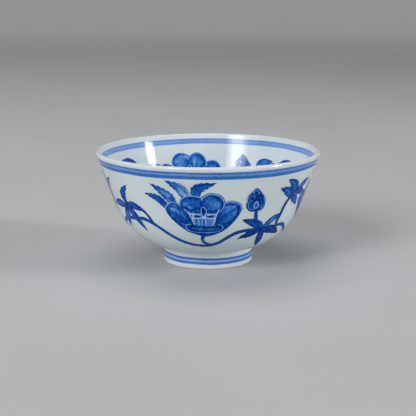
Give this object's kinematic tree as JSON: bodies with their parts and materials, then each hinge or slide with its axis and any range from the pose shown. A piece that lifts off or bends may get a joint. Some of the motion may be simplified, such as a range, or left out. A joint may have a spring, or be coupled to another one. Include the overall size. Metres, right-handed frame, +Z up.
{
  "type": "footed porcelain tea bowl",
  "caption": "Footed white porcelain tea bowl with a flared rounded lip, cobalt rings at rim and foot, and a blue painted flower scroll on the wall.",
  "frame": {"origin": "on the surface the bowl stands on, under the middle of the foot ring", "axes": "+Z up along the bowl's turning axis; X and Y lie in the table, and the shape is the same all round"},
  "size_m": [0.1146, 0.1146, 0.058],
  "materials": {
    "porcelain_clay": "matte, unglazed and fine",
    "glaze_white": "glossy, faintly blue clear glaze on white clay",
    "cobalt_line": "glossy, brushed cobalt under the glaze",
    "cobalt_wash": "glossy, thin pale cobalt under the glaze"
  },
  "bodies": {
    "root": {"bowl_wall": "porcelain_clay", "foot_ring": "porcelain_clay", "lip_glaze": "glaze_white", "belly_glaze": "glaze_white", "interior_glaze": "glaze_white", "foot_upper_glaze": "glaze_white", "foot_lower_glaze": "glaze_white", "recess_glaze": "glaze_white", "rim_upper_line": "cobalt_line", "rim_lower_line": "cobalt_line", "inner_upper_line": "cobalt_line", "inner_lower_line": "cobalt_line", "foot_upper_line": "cobalt_line", "foot_lower_line": "cobalt_line", "rim_wash": "cobalt_wash", "inner_wash": "cobalt_wash", "foot_wash": "cobalt_wash"}
  },
  "joints": []
}
